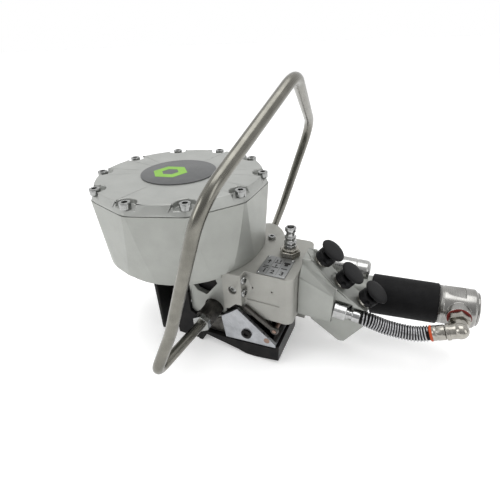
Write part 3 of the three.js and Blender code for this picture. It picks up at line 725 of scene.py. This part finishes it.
silencer_shape = carved(silencer_tube, bracket, "UNION")
finished("silencer", silencer_shape, SILENCER, "tool_frame", ["exhaust_silencer"])

# %% [markdown]
# The grip is a rubber sleeve. A hand needs something to hold, so its skin is pebbled and its two
# ends are rolled over a little.

# %% Grip
grip_length = (on_motor(266) - on_motor(203)).length / MM
grip = lathe(
    [(17.8, 0), (20.8, 0), (21.4, 0.6), (20.4, grip_length - 0.6), (19.8, grip_length),
     (17.8, grip_length)],
    on_motor(203), MOTOR_WAY, 96, 0.25,
)
finished("grip", grip, RUBBER, "tool_frame", ["grip_sleeve"])

# %% [markdown]
# The end cap is turned from bar, with a milled flat on top, a boss for the hose elbow and a small
# hanging lug. The boss and the lug are joined to the turned body, the flat and the air hole are
# cut, and last of all a plug with a chamfer closes the end.

# %% End cap and plug
cap_length = (on_motor(298.7) - on_motor(266.3)).length / MM
end_body = lathe(
    [(0, 0), (19.3, 0), (19.3, 3), (19, 3.3), (19, 3.9), (19.3, 4.2), (19.3, cap_length - 2),
     (17.3, cap_length), (0, cap_length)],
    on_motor(266.3), MOTOR_WAY, 128, 0.2,
)
boss = lathe([(0, 0), (11, 0), (11, 11.4), (0, 11.4)], at(283.2, 12.6, 67), FAR, 64, 0.4)
lug = block(at(288, 20, 43), at(296, 32, 56))
round_edges(lug, 1.2)
milled_flat = block(at(272, 26, 81), at(287, 44, 95))
air_hole = lathe([(0, 0), (11, 0), (11, 24), (0, 24)], on_motor(262), MOTOR_WAY, 48, 0)
end_cap = carved(end_body, merged(boss), "UNION")
end_cap = carved(end_cap, merged(lug), "UNION")
end_cap = carved(end_cap, merged(milled_flat, air_hole))
softened("end_cap", TURNED, 0.25, 35, end_cap)
plug = lathe([(0, 0), (16.5, 0), (16.5, 1.2), (15.7, 2), (0, 2)], on_motor(299), MOTOR_WAY,
             96, 0.3)
finished("end_plug_finished", plug, TURNED, "tool_frame", ["end_plug"])

# %% [markdown]
# ## Valves and buttons
# Three valves stand on the sloping back of the valve block. Each has a plated stub, a ribbed
# collar with two bayonet lugs and a mushroom button. The collar is recessed at its mouth, so that
# the button's flare has room when it is pressed. The buttons move, so each rides on its own body.

# %% Valve collars and mushroom buttons
VALVE_WAY = Vector((math.sin(math.radians(36)), 0, math.cos(math.radians(36))))
VALVE_FEET = {"tension": (151.8, 107.1), "seal": (172.8, 86.6), "cut": (196.8, 70.6)}
collar_outline = [
    (4.8, 0), (8.9, 0), (9.5, 0.6), (9.5, 1.6), (9, 1.9), (9, 2.5), (9.5, 2.8), (9.5, 3.8),
    (9, 4.1), (9, 4.7), (9.5, 5), (9.5, 7.6), (8.3, 8.8), (6.4, 8.8), (6.4, 7.2), (4.8, 7.2),
]
button_outline = [
    (0, 3), (3, 3), (3, 25), (4.2, 25), (4.2, 34.5), (6, 36), (11.8, 37), (12.6, 37.8),
    (12.6, 38.8), (11.9, 39.7), (9, 40.05), (5, 40.15), (0, 40.2),
]
for name, (x, z) in VALVE_FEET.items():
    foot = at(x, 0, z)
    stub = lathe([(4.8, 0), (7.6, 0), (7.6, 3.3), (4.8, 3.3)], foot + VALVE_WAY * 1.2 * MM,
                 VALVE_WAY, 64, 0.2)
    finished(name + "_stub", stub, NICKEL, "tool_frame")
    collar = lathe(collar_outline, foot + VALVE_WAY * 4.4 * MM, VALVE_WAY, 72, 0.15)
    lug_start = foot + VALVE_WAY * 8.4 * MM
    lugs = [
        lathe([(0, 8), (2.4, 8), (2.4, 13), (0, 13)], lug_start, way, 24, 0.4)
        for way in (NEAR, FAR)
    ]
    finished(name + "_collar", merged(collar, *lugs), PLASTIC, "tool_frame",
             [name + "_valve_collar"])
    button = lathe(button_outline, foot - VALVE_WAY * 19 * MM, VALVE_WAY, 72, 0.12)
    finished(name + "_mushroom", button, PLASTIC, name + "_button",
             [name + "_button"])

# %% [markdown]
# ## Air inlet
# A hexagon adapter with a washer is screwed into the top of the gear housing, and a quick-release
# nipple into that. The nipple's grooves hold the balls of the air coupling, and it is bored
# through.

# %% Adapter and nipple
def on_inlet(z):
    return at(118, 7.5, z)


adapter_hex = lathe(hexagon(19, 5.9), on_inlet(104.3), UP, 6, 0.5)
adapter_neck = lathe([(0, 0), (8.4, 0), (8.4, 2.2), (7, 2.5), (7, 3.5), (0, 3.5)],
                     on_inlet(110.2), UP, 64, 0.2)
finished("inlet_adapter_finished", merged(adapter_hex, adapter_neck), NICKEL, "tool_frame",
         ["inlet_adapter"], 15)
nipple = lathe(
    [(3.4, 0), (6.2, 0), (6.2, 2.8), (5.9, 3.1), (5.9, 3.6), (6.2, 3.9), (6.2, 6.6), (5, 7.6),
     (5, 10), (6, 11), (6, 12.2), (4.4, 13.4), (4.4, 17.2), (5.8, 18.4), (5.8, 21.4),
     (5, 22.3), (3.4, 22.3)],
    on_inlet(113.9), UP, 72, 0.15,
)
finished("inlet_nipple", nipple, CHROME, "tool_frame", ["inlet_plug"])

# %% [markdown]
# ## Instruction plate
# A thin anodised plate is riveted beside the inlet, with a numbered picture for each step of the
# work: tension, seal, cut. The numerals are text turned into a mesh, the pictures are flat blocks.

# %% Plate, rivets and pictures
sheet = block(at(98, -36.5, 104), at(127, -2.7, 104.9))
round_edges(sheet, 0.25)
finished("plate_sheet", sheet, PRINTED_SHEET, "tool_frame", ["instruction_plate"])
rivets = merged(*[
    lathe([(0, 0), (1.3, 0), (1.2, 0.3), (0.7, 0.65), (0, 0.75)], at(x, y, 104.85), UP, 20, 0)
    for x in (100, 125) for y in (-34.5, -4.7)
])
finished("plate_rivets", rivets, ZINC, "tool_frame")
INK_LOW, INK_HIGH = 104.88, 104.98


def ink(x0, y0, x1, y1):
    return block(at(x0, y0, INK_LOW), at(x1, y1, INK_HIGH))


def arrow(x, y, size):
    head = lathe([(0, 0), (size, 0), (size, 0.1), (0, 0.1)], at(x, y, INK_LOW), UP, 3, 0, 90)
    return merged(head, ink(x - size * 0.25, y - size * 2, x + size * 0.25, y))


pictures = merged(
    arrow(103.5, -12, 2.4), ink(100.6, -22.5, 106.4, -21.3), ink(100.6, -25.3, 106.4, -24.1),
    ink(110, -12, 111.2, -8), ink(113.6, -12, 114.8, -8), ink(109, -14.4, 115.8, -13.2),
    ink(109, -22.6, 115.8, -21.4), arrow(112.4, -17.8, 1.6),
    ink(118.6, -13.2, 125, -10.2), ink(120, -16.6, 123.4, -13.2), ink(118.6, -22.6, 125, -21.4),
    ink(107.6, -35, 107.8, -4), ink(117, -35, 117.2, -4),
)
finished("plate_pictures", pictures, BLACK_INK, "tool_frame")
numerals = []
for numeral, x in (("1", 102.2), ("2", 110.4), ("3", 119.8)):
    text = bpy.data.curves.new("numeral", "FONT")
    text.body = numeral
    text.size = 8.5 * MM
    text.offset = 0.2 * MM
    text.extrude = 0.05 * MM
    written = bpy.data.objects.new("numeral", text)
    bpy.context.scene.collection.objects.link(written)
    flat = written.evaluated_get(bpy.context.evaluated_depsgraph_get()).to_mesh()
    shape = bmesh.new()
    shape.from_mesh(flat)
    bmesh.ops.remove_doubles(shape, verts=shape.verts, dist=1e-6)
    bmesh.ops.translate(shape, vec=at(x, -33, 104.93), verts=shape.verts)
    numerals.append(shape)
    bpy.data.objects.remove(written)
    bpy.data.curves.remove(text)
finished("plate_numerals", merged(*numerals), BLACK_INK, "tool_frame")

# %% [markdown]
# ## Hose
# A short hose carries air from the valve block to the motor. It is screwed tight at both ends, and
# a close steel spring guards it against kinks. The spring is what the eye sees: a wire of one
# millimetre wound round the hose's own route, which is swept with the same helper as the bail.

# %% Hose route
HOSE_WAY = Vector((26.2, 0, -2.3)).normalized()


def on_hose(distance):
    return at(171.8, -12, 62.5) + HOSE_WAY * distance * MM


knots = [
    on_hose(26.3), on_hose(32.5), at(212, -11, 57.2), at(221, -10, 54.4), at(230, -9, 53),
    at(239, -8.4, 52.6), at(249.5, -7.7, 53.6), at(260.5, -7, 57.6),
]
route = []
for k in range(len(knots) - 1):
    start, end = knots[k], knots[k + 1]
    lead_in = (end - knots[max(k - 1, 0)]) / 6
    lead_out = (knots[min(k + 2, len(knots) - 1)] - start) / 6
    piece_of_route = interpolate_bezier(start, start + lead_in, end - lead_out, end, 9)
    route += piece_of_route[:-1]
route.append(knots[-1])
hose_length = sum((b - a).length for a, b in zip(route, route[1:]))
print("hose length in mm:", round(hose_length / MM, 1))
finished("hose_core", swept(route, 6.3, 20), RUBBER, "tool_frame", ["hose"])

# %% Spring guard
PITCH, WIRE, COIL_RADIUS, PER_TURN = 2.5, 0.75, 6.8, 24
turns = (hose_length / MM - 3) / PITCH
coil_steps = int(turns * PER_TURN)
tube_frames = frames_along(route)
reached = [0.0]
for before, after in zip(route, route[1:]):
    reached.append(reached[-1] + (after - before).length)
coil = []
for k in range(coil_steps + 1):
    place = hose_length * (0.02 + 0.96 * k / coil_steps)
    index = bisect(reached, place) - 1
    share = (place - reached[index]) / (reached[index + 1] - reached[index])
    centre = route[index].lerp(route[index + 1], share)
    angle = 2 * math.pi * k / PER_TURN
    spoke = Vector((math.cos(angle), math.sin(angle), 0)) * COIL_RADIUS * MM
    coil.append(centre + tube_frames[index].to_3x3() @ spoke)
finished("hose_spring", swept(coil, WIRE, 8), GROUND, "tool_frame", sharp=180)

# %% [markdown]
# The fittings at its ends are bright nickel: a hexagon with a grooved stem at the block, a collar
# behind an orange ring and an elbow at the end cap. The elbow is one bent tube between its collar
# and its nut, with a ball at the bend as forged elbows have.

# %% Hose fittings
stem = lathe(
    [(0, 0), (5.6, 0), (5.6, 3.3), (4.6, 3.3), (4.6, 6.3), (6.2, 6.3), (6.2, 13.7), (0, 13.7)],
    on_hose(12), HOSE_WAY, 64, 0.35,
)
fitting_hex = lathe(hexagon(14.4, 12.5), on_hose(0), HOSE_WAY, 6, 0.5)
finished("hose_nut", merged(fitting_hex, stem), CHROME, "tool_frame",
         ["hose_fitting"], 15)
hose_end = knots[-1]


def on_elbow(y):
    return at(283.2, y, 67.4)


corner = on_elbow(-5.5)
out_way = (corner - hose_end).normalized()


def on_out(distance):
    return hose_end + out_way * distance * MM


collar = lathe(
    [(0, 0), (5, 0), (5, 1.7), (7.1, 1.7), (7.1, 4.5), (6.8, 4.8), (6.8, 5.4), (7.1, 5.7),
     (7.1, 11.7), (6.5, 12.7), (0, 12.7)],
    on_out(0.5), out_way, 64, 0.2,
)
finished("hose_sleeve", collar, NICKEL, "tool_frame", ["hose_collar"])
ring_section = [
    (6.3 + 1.3 * math.cos(math.radians(a)), 1.3 * math.sin(math.radians(a)))
    for a in range(0, 360, 30)
]
seal = lathe(ring_section, on_out(1.1), out_way, 48, 0)
finished("hose_ring", seal, ORANGE_RUBBER, "tool_frame")
elbow_tube = swept(bent([on_out(13.5), corner, on_elbow(5)], [6], 10), 6.9, 40)
ball = bmesh.new()
bmesh.ops.create_uvsphere(ball, u_segments=40, v_segments=24, radius=7.4 * MM,
                          matrix=Matrix.Translation(corner))
elbow_nut = lathe(hexagon(17, 7.6), on_elbow(4.4), FAR, 6, 0.5, 30)
elbow_band = lathe([(6.5, 0), (7.7, 0), (7.7, 3), (6.5, 3)], on_out(13.8), out_way, 64, 0.3)
finished("elbow", merged(elbow_tube, ball, elbow_nut, elbow_band), NICKEL, "tool_frame",
         ["elbow_fitting"], 15)
washer = lathe([(7, 0), (10.4, 0), (10.4, 0.9), (7, 0.9)], on_elbow(11.9), FAR, 64, 0.2)
finished("elbow_washer", washer, RED_FIBRE, "tool_frame")

# %% [markdown]
# ## Foot, guards and side plate
# The strap runs between the steel foot and the tension wheel, behind a milled side plate. These
# are plates with sawn or ground edges, so they only need a small broken edge. The plate's flat
# socket screw is black, and a brown pin end shows beside it.

# %% Plates and guards
for node, edge in (("front_guard", 0.5), ("jaw_guard", 0.4), ("window_shield", 0.3),
                   ("base_foot", 0.6)):
    softened(node, BLACK_STEEL, edge)
for node in ("die_block", "cutter_block", "gripper_lever"):
    softened(node, HARD_STEEL, 0.3)
softened("side_plate", MILLED, 0.35)
plate_screw = socket_head(5.8, 1.6, 5, 1.2, at(89.5, -46.3, 29.6), NEAR, 15)
finished("side_plate_bolt", plate_screw, BLACK_STEEL, "tool_frame",
         ["side_plate_screw"])
pin_end = lathe([(0, 0), (3.2, 0), (3.2, 0.5), (0, 0.5)], at(112.4, -45.9, 27.6), NEAR, 32, 0.15)
finished("side_plate_pin", pin_end, BRONZE, "tool_frame")

# %% [markdown]
# ## Studio
# The tool stands on a white light table, which glows faintly, under soft light: a large lamp
# overhead, one from the left of the camera, a weak one from the right, and a bright surrounding.
# Polished metal shows only what it mirrors, so the surrounding is white behind the tool and
# greyer on the camera's side.

# %% Floor, world and lamps
paper = bpy.data.materials.new("studio paper")
paper.use_nodes = True
paper_tree = paper.node_tree
paper_shader = paper_tree.nodes["Principled BSDF"]
paper_grain = grain(paper_tree, surface_place(paper_tree), 0.004, 3.0)
dress(paper_tree, paper_shader, tint(paper_tree, paper_grain, (0.90,) * 3, (0.93,) * 3),
      spread(paper_tree, paper_grain, 0.85, 0.95))
paper_shader.inputs["Emission Color"].default_value = (1.0, 1.0, 1.0, 1)
paper_shader.inputs["Emission Strength"].default_value = 0.28
floor_shape = bmesh.new()
bmesh.ops.create_grid(floor_shape, x_segments=2, y_segments=2, size=40)
floor_mesh = bpy.data.meshes.new("floor")
floor_shape.to_mesh(floor_mesh)
floor_shape.free()
floor_mesh.materials.append(paper)
floor = bpy.data.objects.new("floor", floor_mesh)
floor_mesh.transform(Matrix.Translation((0, 0, -0.0005)))
bpy.context.scene.collection.objects.link(floor)

world = bpy.data.worlds.new("studio")
world.use_nodes = True
sky = world.node_tree.nodes["Background"]
sky.inputs["Color"].default_value = (1.0, 1.0, 1.0, 1)
sky_view = world.node_tree.nodes.new("ShaderNodeTexCoord")
facing = world.node_tree.nodes.new("ShaderNodeVectorMath")
facing.operation = "DOT_PRODUCT"
facing.inputs[1].default_value = (-0.42, 0.90, 0.10)
world.node_tree.links.new(sky_view.outputs["Generated"], facing.inputs[0])
brightness = world.node_tree.nodes.new("ShaderNodeMapRange")
brightness.inputs["From Min"].default_value = -1.0
brightness.inputs["From Max"].default_value = 0.6
brightness.inputs["To Min"].default_value = 0.40
brightness.inputs["To Max"].default_value = 1.0
world.node_tree.links.new(facing.outputs["Value"], brightness.inputs["Value"])
world.node_tree.links.new(brightness.outputs["Result"], sky.inputs["Strength"])
bpy.context.scene.world = world


def lamp(name, place, target, size, power):
    light = bpy.data.lights.new(name, "AREA")
    light.shape = "RECTANGLE"
    light.size, light.size_y = size
    light.energy = power
    holder = bpy.data.objects.new(name, light)
    bpy.context.scene.collection.objects.link(holder)
    holder.location = place
    holder.rotation_euler = (Vector(target) - Vector(place)).to_track_quat("-Z", "Y").to_euler()
    return holder


lamp("overhead", (0, 0.1, 1.5), (0, 0, 0.1), (1.2, 1.0), 9)
lamp("left_window", (-1.1, -1.0, 0.9), (0, 0, 0.1), (0.8, 0.8), 6)
lamp("right_window", (1.3, -0.4, 0.7), (0, 0, 0.1), (0.5, 0.9), 3)

# %% [markdown]
# The camera looks down on the tool from the near side, a little to the right of the cylinder, from
# half a metre away. Its three axes are written out, because a camera is best set by where it
# looks: right, up and back.

# %% Camera
eye = bpy.data.cameras.new("camera")
eye.lens = 25.2
eye.sensor_width = 36
camera = bpy.data.objects.new("camera", eye)
right = Vector((0.91306, 0.40657, -0.03196))
up = Vector((-0.18438, 0.48142, 0.85687))
back = Vector((0.36377, -0.77649, 0.51453))
camera.matrix_world = Matrix.Translation(at(211.86, -290.71, 297.10)) @ Matrix(
    (right, up, back)
).transposed().to_4x4()
bpy.context.scene.collection.objects.link(camera)
bpy.context.scene.camera = camera
bpy.context.scene.view_settings.view_transform = "Standard"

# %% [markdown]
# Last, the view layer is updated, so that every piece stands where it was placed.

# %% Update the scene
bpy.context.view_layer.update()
